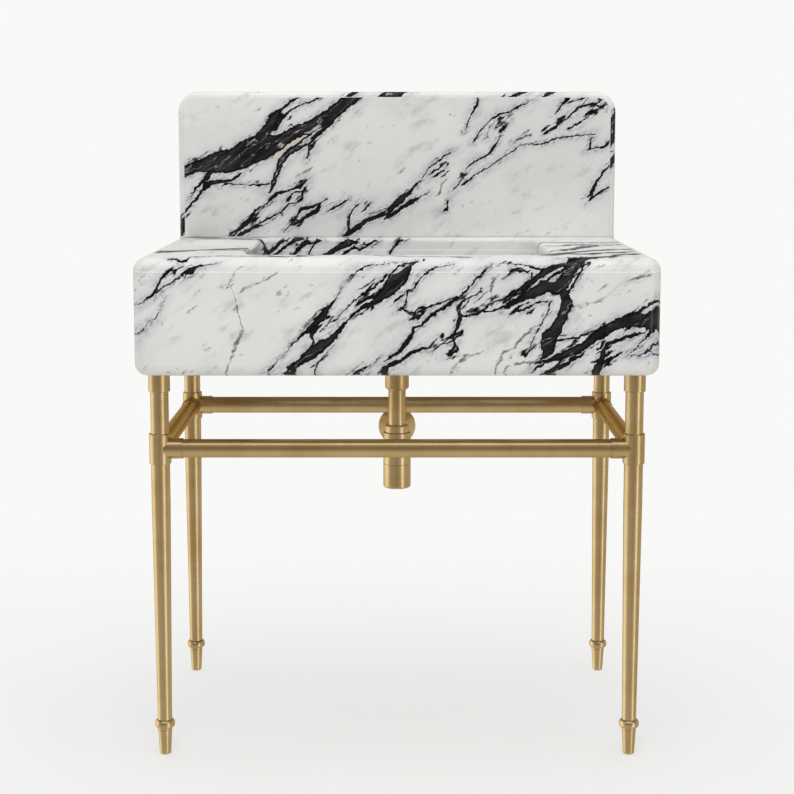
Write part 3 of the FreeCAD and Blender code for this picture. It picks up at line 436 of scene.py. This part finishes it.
def block_veins(place, moved):
    """The apron's drawn veins, folded round to the sides and the back and laid over the basin's floor,
    with the deck's own veins and those of the basin's rear wall."""
    deep = block_high.y - block_low.y
    edge_reach = 0.03
    basin_depth = 0.125
    basin_rear = 0.505
    x, y, z = moved.parts()
    still_x, depth, height = place.parts()
    behind = (depth - block_low.y).at_least(0.0)
    past_apron = behind.step(0.02, 0.05)
    at_side = abs(still_x).step(block_high.x - edge_reach, block_high.x - 0.004)
    folded = at_side.at_least(behind.step(deep - 0.024, deep - 0.003))
    sunk = height.step(block_high.z - 0.012, block_high.z - 0.04) * past_apron * (1 - folded)
    on_deck = height.step(block_high.z - 0.015, block_high.z - 0.001) * past_apron

    span = 0.9
    middle = (block_high.z - block_low.z) / 2
    basin_floor = block_high.z - basin_depth
    folded_share = 0.8
    floor_share = 0.9
    side_rise = 0.25
    floor_rise = 0.46
    floor_drop = 0.05
    wall_rise = 0.6
    sideways = x - still_x.maths("SIGN", still_x) * folded * behind * folded_share
    sideways = sideways * (1 - sunk) - x * sunk * floor_share
    up = (z - block_low.z + (1 - folded * (1 - side_rise)) * (y - block_low.y)) * (1 - sunk)
    up = up + ((y - block_low.y) * floor_rise - floor_drop + (z - basin_floor) * wall_rise) * sunk
    along, across = turned_along(sideways, up - middle, VEIN_CLIMB, span)
    top_loss = 0.6
    side_deck_loss = 0.03
    rear_wall_loss = 0.05
    at_rear_wall = sunk * behind.step(basin_rear - 0.065, basin_rear - 0.02)
    faded = (1 - folded) * (1 - sunk) * (behind - edge_reach).at_least(0.0) * top_loss
    faded = faded + on_deck * folded * side_deck_loss + at_rear_wall * rear_wall_loss
    drawn = []
    for veins in (APRON_VEINS, APRON_GREY_VEINS, APRON_WARM_VEINS):
        spots = upright_pixels(veins, APRON_MIDDLE_PIXEL, APRON_PIXELS_PER_METRE)
        shares = drawn_veins(spots, (0.0, middle), VEIN_CLIMB, span)
        drawn.append(vein_field(along, across, shares, span) - faded)
    apron, grey, warm = drawn

    square = 1.0
    deck_lean = 0.35
    deck_wander = 0.15
    deck_fray = 0.035
    deck_reach = 0.05
    deck_loss = 0.1
    folded_loss = 0.02
    spots = [[(right, back, wide * DECK_WIDTH_SHARE) for right, back, wide in vein] for vein in DECK_VEINS]
    shares = drawn_veins(spots, (0.0, 0.0), 0.0, square)
    lean = (height - block_high.z) * deck_lean + (place.noise(8.0, 3.0, 0.55) - 0.5) * deck_wander
    deck = vein_field(x + 0.5, y + lean + 0.5, shares, square)
    deck = deck + (place.noise(21.0, 3.0, 0.6) - 0.5) * deck_fray
    below = (block_high.z - deck_reach - height).at_least(0.0)
    deck = deck - below * deck_loss - folded * folded_loss

    wall_middle = 0.8
    wall_reach = 0.0195
    shares = drawn_veins(BASIN_VEINS, (0.0, wall_middle), 0.0, square)
    before_wall = (basin_rear - wall_reach - behind).at_least(0.0)
    wall = vein_field(x + 0.5, z - wall_middle + 0.5, shares, square) - before_wall
    return apron.at_least(deck).at_least(wall), grey, warm


block_levels = (block_low.z, block_high.z)
nodes["sink_block"].material_slots[0].material = marble("block_marble", block_veins, block_levels)


# Backsplash: a slab of the same marble with rounded upper corners and a rounded front edge, set up
# on the deck against the wall. One broad vein climbs over its left half and a net of thin ones over
# its right. They are traced in pixels of the photograph: across, down and how wide.
SPLASH_VEINS = [
    [(180, 173, 12), (193, 171, 12), (205, 166.5, 11), (215.6, 165.5, 15), (226, 163.5, 22),
     (236, 161, 24), (246, 159, 24), (256, 153, 26), (266.6, 148, 26), (277, 144, 22), (287, 142, 15),
     (297, 136, 13), (307, 131, 13), (317.7, 128, 14), (328, 122, 14), (338, 115.5, 14), (350, 105, 13),
     (360.6, 100, 9), (371, 94, 4)],
    [(272, 135, 12), (277, 127, 10), (283, 117.6, 9), (287, 112, 4), (293, 108, 3.5), (300, 103, 3),
     (306, 100, 3)],
    [(283, 129, 5), (288, 119.6, 5), (295, 114.5, 3), (307, 107, 2), (317.7, 104, 2.5), (325, 100, 2)],
    [(277, 190, 2), (280, 182, 5), (284, 171.6, 5.5), (288, 161, 7), (295, 153, 7), (307, 146, 8),
     (317.7, 138, 9), (326, 131, 8), (336, 124, 6)],
    [(234, 182, 3), (246, 184, 1), (256, 184, 1.5), (266.6, 184, 2.5), (275, 183, 2)],
    [(210.5, 189, 4), (218.7, 182, 6), (231, 180, 4), (240, 179, 3), (246, 175, 4)],
    [(194, 211, 2), (200, 203, 2.5), (204, 199, 3), (210.5, 190, 3), (214.6, 179, 4)],
    [(200, 196, 1), (204, 187, 3), (211.5, 180, 4), (217.7, 174, 6)],
    [(240, 232, 6), (251, 223, 4), (260.5, 217.6, 3), (266.6, 210, 2), (274, 201, 1.5), (279, 196, 4),
     (285, 192, 4), (295, 190.5, 2), (307, 185, 4), (311.5, 180, 3)],
    [(248, 232, 5), (262.6, 224, 3), (275, 216.5, 2.5), (287, 211, 2.5), (295, 203, 2.5), (302, 201, 2),
     (308.5, 197, 4), (310.5, 187, 2.5)],
    [(296, 198, 4), (300, 192, 2), (307, 190, 3)],
    [(314.6, 157, 2), (315.6, 148, 5), (321, 143, 3)],
    [(290, 230, 1.5), (299, 220, 2.5), (307, 207, 4), (317.7, 205, 4), (324, 202, 2)],
    [(301, 221.6, 4), (312.6, 214.5, 4), (323, 209, 6), (326, 201, 2.5)],
    [(332, 209, 1.5), (342, 205, 3), (350, 200, 3)],
    [(353.5, 230, 3), (353.5, 216.5, 3.5), (358.6, 206, 2), (364, 201, 1.5)],
    [(369, 208, 3), (374, 202, 2)],
    [(352, 232, 6), (361, 226, 6), (371, 218.6, 5), (381, 214.5, 4), (391, 211, 7), (397, 204, 6),
     (405.5, 197, 8), (411.6, 192, 4), (419, 184, 2.5), (426, 177, 1.5), (431, 168.6, 2), (440, 161, 2),
     (448, 155, 3), (456.5, 151, 1)],
    [(391, 215.5, 4), (403.5, 207, 4), (415, 200, 5), (423, 196, 1.5), (431, 192, 1.5)],
    [(375, 212, 1.5), (383, 210, 1), (393, 205, 2)],
    [(433, 173, 2), (440, 168.6, 2.5), (446, 165.5, 2)],
    [(438, 175, 3), (444, 172, 4)],
    [(450, 207, 3), (449.5, 200, 2.5)],
    [(456.5, 188, 3), (463, 180, 2), (468, 168, 2), (476, 161, 3), (487, 156, 3), (492, 151, 5),
     (496.5, 145, 3), (500.6, 139, 2), (502, 132, 2), (508, 123, 2.5)],
    [(464, 184, 3), (472, 179, 4), (478, 173, 2.5), (486, 168.6, 2.5), (494.5, 163.5, 2.5),
     (504, 157, 2.5), (514, 151, 2.5), (519, 146, 2), (527, 145, 1.5), (536, 145, 2), (546.5, 143, 2.5),
     (557, 138, 3), (570, 137, 3), (582, 135, 2), (592, 135, 2)],
    [(514, 143, 2), (527, 136, 2)],
    [(474, 142.6, 2), (481, 133, 3), (487, 126, 2), (494.5, 118.6, 3), (500.6, 115.5, 4),
     (509, 113.5, 1.5), (516, 109, 4), (531, 103, 1.5), (535, 101, 1)],
    [(488, 138, 1.5), (490.4, 130, 1.5), (495.5, 121.6, 1.5)],
    [(497.6, 128, 3), (505, 123, 2.5)],
    [(466, 132, 1), (472, 117.6, 2.5), (478, 106, 4), (479, 99, 2)],
    [(546.5, 132, 3), (555, 128, 5), (559, 120.6, 7)],
    [(555.7, 114.5, 3), (560, 107, 3), (565, 101, 6)],
    [(559, 124, 3), (568, 117.6, 3), (576, 110, 4), (584, 107, 4), (592, 106, 4), (598.6, 110, 3)],
    [(591, 107, 5), (597.6, 103, 2)],
    [(568, 129, 3), (577, 124, 3), (584, 118.6, 2), (592, 113.5, 2), (600.6, 109, 2)],
    [(567, 104, 3), (574, 103, 2), (582, 100, 4)],
    [(587, 149, 3), (588.4, 140, 2.5)],
    [(587, 149, 2), (593.5, 148, 2), (600.6, 148, 4), (606, 143, 4)],
    [(590, 197, 5), (597.6, 192, 4), (606, 186, 3)],
    [(590, 193, 5), (593.5, 184, 6), (596.5, 178, 3), (602.7, 170.6, 4), (606, 165.5, 2)],
]
SPLASH_RIM_VEINS = [
    [(180, 246, 6), (188, 232, 9), (194, 219, 7), (200, 208, 4)],
    [(346, 104, 3), (356, 97, 5), (366, 90, 3)],
    [(380, 104, 8), (396, 97, 12), (414, 88, 8)],
    [(500, 104, 2), (514, 98, 4), (530, 92, 3)],
    [(536, 104, 3), (546, 97, 4), (556, 90, 3)],
    [(604, 150, 5), (608, 138, 10), (611, 124, 8), (616, 108, 4)],
    [(604, 172, 3), (610, 160, 5), (616, 150, 3)],
]
SPLASH_GREY_VEINS = [
    [(305, 175, 2), (315.6, 169, 2)],
    [(443, 192, 2), (444, 182, 2)],
]
SPLASH_WARM_VEINS = [[(281, 161, 2), (287, 153, 5), (294, 147, 6), (301, 142.5, 5), (309, 139, 2)]]
SPLASH_MIDDLE_PIXEL = (400.75, 234)
SPLASH_PIXELS_PER_METRE = 503
# From this pixel on, the veins of the net are this share of their traced width
NET_LEFT_PIXEL = 436
NET_WIDTH_SHARE = 0.76

splash_low, splash_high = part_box("backsplash")


def splash_veins(place, moved):
    """The drawn veins of the flat face, which end at its edge, and those of the rounded rim round it."""
    face_veins = [[(pixel, down, wide * (NET_WIDTH_SHARE if pixel >= NET_LEFT_PIXEL else 1.0))
                   for pixel, down, wide in vein] for vein in SPLASH_VEINS]
    span = 1.0
    middle = (splash_high.z - splash_low.z) / 2
    x, _, z = moved.parts()
    along, across = turned_along(x, z - splash_low.z - middle, VEIN_CLIMB, span)
    fields = []
    for veins in (face_veins, SPLASH_GREY_VEINS, SPLASH_WARM_VEINS, SPLASH_RIM_VEINS):
        spots = upright_pixels(veins, SPLASH_MIDDLE_PIXEL, SPLASH_PIXELS_PER_METRE)
        shares = drawn_veins(spots, (0.0, middle), VEIN_CLIMB, span)
        fields.append(vein_field(along, across, shares, span))
    face, grey, warm, rim = fields

    rim_width = 0.0106
    corner = 0.0294
    soft_edge = 0.0006
    hidden = 0.05
    still_x, _, height = place.parts()
    beside = (abs(still_x) - (splash_high.x - rim_width - corner)).at_least(0.0)
    above = (height - (splash_high.z - rim_width - corner)).at_least(0.0)
    outside = beside.maths("POWER", beside * beside + above * above, 0.5)
    on_rim = outside.step(corner - soft_edge, corner + soft_edge)
    black = (face - on_rim * hidden).at_least(rim - (1 - on_rim) * hidden)
    return black, grey - on_rim * hidden, warm - on_rim * hidden


nodes["backsplash"].material_slots[0].material = marble("splash_marble", splash_veins)


# Sealant bed: a bead of white silicone between the deck and the backsplash. It is pressed out as the
# slab is set down and smoothed with a finger, which leaves long smears.
def sealant():
    material, shader, place = new_finish("white_silicone", Specular_IOR_Level=0.4)
    smear = place.stretch(6.0, 40.0, 40.0).noise(9.0, 3.0)
    feed(shader, {"Base Color": smear.step(0.3, 0.7).mix(tint("DEDDD8"), tint("CFCEC8")),
                  "Roughness": smear * 0.2 + 0.35,
                  "Normal": bumped(smear, 0.2, 0.0004)})
    return material


nodes["backsplash_sealant"].material_slots[0].material = sealant()


# Brass console: four legs of drawn and turned brass tube under the block, joined by four rails in
# tees. All of it is brushed and left satin, with the brush marks running round each tube.
def satin_brass(name, brush):
    """Brushed brass: the brush says how close together its marks lie along each axis, in marks a metre."""
    material, shader, place = new_finish(name, Metallic=1.0, Specular_Tint=tint("E6CB96"))
    marks = place.stretch(*brush).noise(1.0, 3.0, 0.6)
    handled = place.noise(14.0, 3.0, 0.6)
    colour = handled.step(0.3, 0.75).mix(tint("DAC49A"), tint("CDB382"))
    colour = (marks.step(0.35, 0.75) * 0.14).mix(colour, tint("B39460"))
    feed(shader, {"Base Color": colour, "Roughness": marks * 0.05 + handled * 0.04 + 0.255,
                  "Normal": bumped(marks, 0.008, 0.0002)})
    return material


close = 1400.0
drawn_out = 14.0
upright_brass = satin_brass("upright_brass", (drawn_out, drawn_out, close))
crosswise_brass = satin_brass("crosswise_brass", (close, drawn_out, drawn_out))
inward_brass = satin_brass("inward_brass", (drawn_out, close, drawn_out))
CORNERS = ("front_left", "front_right", "rear_right", "rear_left")
for corner in CORNERS:
    for piece in ("leg_ferrule", "upper_leg", "leg_tee", "lower_leg", "leg_ring", "levelling_foot"):
        nodes[f"{piece}_{corner}"].material_slots[0].material = upright_brass
for rail in ("front_rail", "rear_rail"):
    nodes[rail].material_slots[0].material = crosswise_brass
for rail in ("side_rail_left", "side_rail_right"):
    nodes[rail].material_slots[0].material = inward_brass


# Fixings: stainless studs, nuts and the plug's clip, turned on a lathe, and the brass inserts bonded
# into the stone. The leg studs screw into the inserts, and the foot studs carry the feet.
def turned_steel():
    material, shader, place = new_finish("turned_steel", Metallic=1.0)
    marks = place.stretch(120.0, 120.0, 2400.0).noise(1.0, 3.0, 0.6)
    feed(shader, {"Base Color": marks.step(0.3, 0.7).mix(tint("B4B4B2"), tint("94948F")),
                  "Roughness": marks * 0.2 + 0.24,
                  "Normal": bumped(marks, 0.15, 0.0002)})
    return material


steel = turned_steel()
for piece in ("leg_studs", "leg_nuts", "plug_clip", *[f"foot_stud_{corner}" for corner in CORNERS]):
    nodes[piece].material_slots[0].material = steel
nodes["leg_inserts"].material_slots[0].material = upright_brass


# Grub screws: eight headless steel screws, one under each rail socket, that lock the rails in the
# tees. Each is a short rod, turned in as far as it goes, with a hexagonal hole for the key in its
# lower end.
def grub_screws():
    low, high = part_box("rail_grub_screws")
    socket_middle = 0.0289
    spots = []
    for corner in CORNERS:
        leg_low, leg_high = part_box(f"upper_leg_{corner}")
        x = (leg_low.x + leg_high.x) / 2
        y = (leg_low.y + leg_high.y) / 2
        inward_x = math.copysign(socket_middle, -x)
        inward_y = math.copysign(socket_middle, -y)
        spots += [(x + inward_x, y, low.z), (x, y + inward_y, low.z)]
    mesh = bpy.data.meshes.new("grub_screws")
    mesh.from_pydata(spots, [], [])
    screws = bpy.data.objects.new("grub_screws", mesh)
    bpy.context.scene.collection.objects.link(screws)

    tree = bpy.data.node_groups.new("grub_screws", "GeometryNodeTree")
    tree.interface.new_socket("Spots", in_out="INPUT", socket_type="NodeSocketGeometry")
    sizes = {"Radius": 0.0025, "Length": high.z - low.z, "Key Width": 0.0025, "Key Depth": 0.0011}
    sockets = {}
    for name in sizes:
        sockets[name] = tree.interface.new_socket(name, in_out="INPUT", socket_type="NodeSocketFloat")
    tree.interface.new_socket("Screws", in_out="OUTPUT", socket_type="NodeSocketGeometry")
    start = Wire(tree)
    radius, length, key_width, key_depth = [start.node("NodeGroupInput", {}, {}, name) for name in sizes]
    rod = start.node("GeometryNodeMeshCylinder", {}, {"Vertices": 48, "Radius": radius, "Depth": length})
    rod = rod.node("GeometryNodeTransform", {}, {
        "Geometry": rod, "Translation": length.node("ShaderNodeCombineXYZ", {}, {"Z": length * 0.5})})
    key = start.node("GeometryNodeMeshCylinder", {}, {
        "Vertices": 6, "Radius": key_width * (1 / math.sqrt(3)), "Depth": key_depth * 2.0})
    screw = rod.node("GeometryNodeMeshBoolean", {"operation": "DIFFERENCE"}, {"Mesh 1": rod, "Mesh 2": key})
    sixth = math.pi / 3
    turn = start.node("FunctionNodeRandomValue", {"data_type": "FLOAT"}, {"Max": sixth, "Seed": 4}, "Value")
    placed = screw.node("GeometryNodeInstanceOnPoints", {}, {
        "Points": start.node("NodeGroupInput", {}, {}, "Spots"), "Instance": screw,
        "Rotation": turn.node("ShaderNodeCombineXYZ", {}, {"Z": turn})})
    solid = placed.node("GeometryNodeRealizeInstances", {}, {"Geometry": placed})
    solid = solid.node("GeometryNodeSetMaterial", {}, {"Geometry": solid, "Material": steel})
    solid.node("NodeGroupOutput", {}, {"Screws": solid}, None)

    modifier = screws.modifiers.new("screws", "NODES")
    modifier.node_group = tree
    for name, size in sizes.items():
        modifier[sockets[name].identifier] = size
    drawn = screws.evaluated_get(bpy.context.evaluated_depsgraph_get())
    screws.data = bpy.data.meshes.new_from_object(drawn)
    screws.modifiers.remove(modifier)
    screws.data.materials.pop(index=0)
    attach(screws, "console")
    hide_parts("rail_grub_screws")


grub_screws()


# Waste and plug: a turned brass flange in the basin's floor with a lift-up plug over it. A washer and
# a lock nut clamp it to the stone from below.
for piece in ("waste_flange", "plug_cap", "plug_stem", "waste_washer", "waste_lock_nut"):
    nodes[piece].material_slots[0].material = upright_brass


# Bottle trap: a brass sleeve, tailpiece and bottle under the drain, screwed together, with an outlet
# tube that runs back through a round cover into the wall.
for piece in ("drain_sleeve", "tailpiece", "trap_inlet_nut", "trap_body", "trap_cup"):
    nodes[piece].material_slots[0].material = upright_brass
for piece in ("outlet_nut", "outlet_tube", "wall_rosette"):
    nodes[piece].material_slots[0].material = inward_brass


# Seals: black rubber rings, moulded and slightly dusty, that are squeezed between the pieces of the
# waste, the plug and the trap.
def seal_rubber():
    material, shader, place = new_finish("seal_rubber", Specular_IOR_Level=0.3)
    bloom = place.noise(120.0, 3.0)
    feed(shader, {"Base Color": bloom.step(0.4, 0.8).mix(tint("1B1B1B"), tint("2C2C2B")),
                  "Roughness": bloom * 0.2 + 0.6,
                  "Normal": bumped(bloom, 0.1, 0.0002)})
    return material


rubber = seal_rubber()
for piece in ("waste_upper_seal", "waste_lower_seal", "trap_inlet_seal", "trap_cup_seal", "outlet_seal",
              "plug_seal"):
    nodes[piece].material_slots[0].material = rubber


# Studio: a pale floor that fades into a white background, two soft lights, the panels that the brass
# mirrors, and the photograph's camera.
def studio_floor():
    half = 12.0
    corners = [(-half, -half, 0), (half, -half, 0), (half, half, 0), (-half, half, 0)]
    mesh = bpy.data.meshes.new("studio_floor")
    mesh.from_pydata(corners, [], [(0, 1, 2, 3)])
    floor = bpy.data.objects.new("studio_floor", mesh)
    bpy.context.scene.collection.objects.link(floor)
    material, shader, place = new_finish("pale_floor", Roughness=0.8, Specular_IOR_Level=0.1)
    feed(shader, {"Base Color": place.noise(3.0, 3.0).step(0.2, 0.8).mix(tint("FAFAF9"), tint("F7F7F5"))})
    looked_at = place.node("ShaderNodeLightPath", {}, {}, "Is Camera Ray")
    looked_at = looked_at.at_least(place.node("ShaderNodeLightPath", {}, {}, "Is Transmission Ray"))
    white = place.node("ShaderNodeEmission", {}, {"Color": tint("F9F9F8"), "Strength": 1.0})
    least_white = 0.42
    x, y, _ = place.parts()
    distance = place.node("ShaderNodeVectorMath", {"operation": "LENGTH"}, {0: place}, "Value")
    away = distance.step(0.5, 1.9).at_least(y.step(-0.9, 1.5)).at_least(x.step(-0.3, -1.3))
    faded = away * (1.0 - least_white) + least_white
    lit = Wire(place.tree, shader.outputs[0])
    blend = place.node("ShaderNodeMixShader", {}, {0: faded * looked_at, 1: lit, 2: white})
    feed(place.tree.nodes["Material Output"], {"Surface": blend})
    mesh.materials.append(material)
    floor.visible_glossy = False


# What the brass mirrors of the studio, by degrees to the right of the camera: a pale wall on the left,
# the dark room behind the camera, a narrow lamp on the right and grey screens at the back
PANELS = [(-180, 0.2), (-146, 0.2), (-136, 0.64), (-86, 0.67), (-62, 0.2), (-25, 0.13), (26, 0.13),
          (38, 0.22), (43, 1.0), (52, 1.0), (58, 0.25), (95, 0.22), (118, 0.34), (134, 0.34), (146, 0.2),
          (180, 0.2)]
PANEL_POWER = 2.0


def studio_world():
    world = bpy.data.worlds.new("studio")
    bpy.context.scene.world = world
    world.use_nodes = True
    world.node_tree.nodes.clear()
    start = Wire(world.node_tree)
    x, y, z = start.node("ShaderNodeTexCoord", {}, {}, "Generated").parts()
    forward = y * -1.0
    turn = x.maths("ARCTAN2", x, forward) * (0.5 / math.pi) + 0.5
    stops = [(degrees / 360 + 0.5, level) for degrees, level in PANELS]
    panels = start.node("ShaderNodeFloatCurve", {"points": stops}, {"Value": turn}) * PANEL_POWER
    low_level = 0.54
    low_fall = 0.2
    ground_level = 0.66
    front_box_level = 1.4
    back_wall_level = 0.55
    ceiling_level = 0.45
    ceiling_fall = 0.3
    panels = panels.at_least(z.step(-0.06, -0.2) * (low_level - forward.step(0.93, 0.975) * low_fall))
    ground = z.step(-0.4, -0.8)
    ceiling = z.step(0.45, 0.75)
    front_box = z.step(0.84, 0.87) * z.step(0.96, 0.93) * forward.step(0.1, 0.25)
    back_wall = z.step(-0.02, 0.0) * z.step(0.11, 0.085) * y.step(0.86, 0.94)
    panels = panels * (1 - ground.at_least(ceiling)) + ground * ground_level
    panels = panels + front_box * front_box_level + back_wall * back_wall_level
    panels = panels + ceiling * (ceiling_level - y.step(-0.2, 0.05) * ceiling_fall)
    warmth = panels.step(0.2, 1.1).mix((1.0, 0.88, 0.68, 1.0), (1.0, 0.995, 0.98, 1.0))

    mirrored = start.node("ShaderNodeLightPath", {}, {}, "Is Glossy Ray")
    looked_at = mirrored.at_least(start.node("ShaderNodeLightPath", {}, {}, "Is Camera Ray"))
    looked_at = looked_at.at_least(start.node("ShaderNodeLightPath", {}, {}, "Is Transmission Ray"))
    soft = start.node("ShaderNodeBackground", {}, {"Color": (1.0, 1.0, 1.0, 1.0), "Strength": 0.6})
    background = start.node("ShaderNodeBackground", {}, {
        "Color": mirrored.mix(tint("F9F9F8"), warmth), "Strength": (panels - 1) * mirrored + 1})
    blend = start.node("ShaderNodeMixShader", {}, {0: looked_at, 1: soft, 2: background})
    start.node("ShaderNodeOutputWorld", {}, {"Surface": blend}, None)


def soft_light(name, spot, aim, wide, tall, power):
    lamp = bpy.data.lights.new(name, "AREA")
    lamp.shape = "RECTANGLE"
    lamp.size = wide
    lamp.size_y = tall
    lamp.energy = power
    holder = bpy.data.objects.new(name, lamp)
    bpy.context.scene.collection.objects.link(holder)
    holder.location = spot
    holder.rotation_euler = (Vector(aim) - Vector(spot)).to_track_quat("-Z", "Y").to_euler()
    holder.visible_camera = False
    holder.visible_glossy = False


studio_floor()
studio_world()
soft_light("key_light", spot=(-0.2, -2.4, 2.7), aim=(0.0, 0.0, 0.7), wide=1.7, tall=1.7, power=24.0)
soft_light("top_light", spot=(0.1, -0.3, 3.0), aim=(0.0, 0.0, 0.8), wide=2.0, tall=2.0, power=23.0)

looks_down = math.radians(7.04)
stands_back = 2.9875
eye_height = 1.063
camera = bpy.data.cameras.new("photo_camera")
camera.lens = 75.4
camera.sensor_width = 36.0
camera.shift_y = -0.078
photographer = bpy.data.objects.new("photo_camera", camera)
bpy.context.scene.collection.objects.link(photographer)
photographer.location = (0.0, -stands_back, eye_height)
photographer.rotation_euler = (math.pi / 2 - looks_down, 0.0, 0.0)
bpy.context.scene.camera = photographer
bpy.context.scene.view_settings.view_transform = "Standard"
